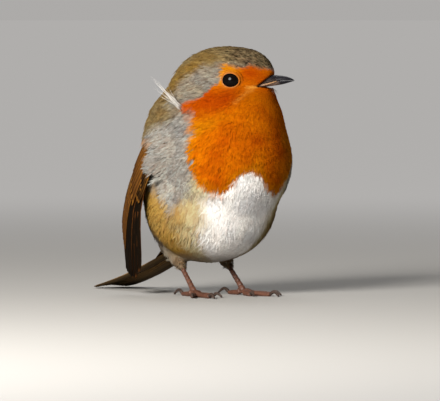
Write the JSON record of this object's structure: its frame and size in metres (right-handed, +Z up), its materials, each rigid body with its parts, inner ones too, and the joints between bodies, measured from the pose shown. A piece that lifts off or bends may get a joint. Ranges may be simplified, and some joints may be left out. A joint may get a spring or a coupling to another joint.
{
  "type": "european robin",
  "caption": "Life-size still model of a standing, fluffed-up European robin with its head turned to its left, orange face and breast.",
  "frame": {"origin": "bottom centre of the bounding box, on the floor", "axes": "+Z up; the bird faces -Y and its left side is +X"},
  "size_m": [0.0558, 0.1038, 0.0927],
  "materials": {
    "plumage": "soft matt feathers: orange face and breast, grey neck sides, olive-brown back, white belly",
    "wing_vanes": "brown flight feathers with paler rufous edges",
    "tail_vanes": "brown tail feathers, pale buff-grey below",
    "bill_horn": "dark grey-black horn, paler at the gape",
    "eye_wet": "wet, very dark brown",
    "leg_scales": "reddish-brown scutes",
    "claw_horn": "dark brown horn"
  },
  "bodies": {
    "root": {"head": "plumage", "neck": "plumage", "trunk": "plumage", "wing_right": "wing_vanes", "wing_left": "wing_vanes", "tail": "tail_vanes", "bill_upper": "bill_horn", "bill_lower": "bill_horn", "eye_right": "eye_wet", "eye_left": "eye_wet", "thigh_right": "plumage", "shank_right": "leg_scales", "toe_right_1": "leg_scales", "claw_right_1": "claw_horn", "toe_right_2": "leg_scales", "claw_right_2": "claw_horn", "toe_right_3": "leg_scales", "claw_right_3": "claw_horn", "toe_right_4": "leg_scales", "claw_right_4": "claw_horn", "thigh_left": "plumage", "shank_left": "leg_scales", "toe_left_1": "leg_scales", "claw_left_1": "claw_horn", "toe_left_2": "leg_scales", "claw_left_2": "claw_horn", "toe_left_3": "leg_scales", "claw_left_3": "claw_horn", "toe_left_4": "leg_scales", "claw_left_4": "claw_horn"}
  },
  "joints": []
}
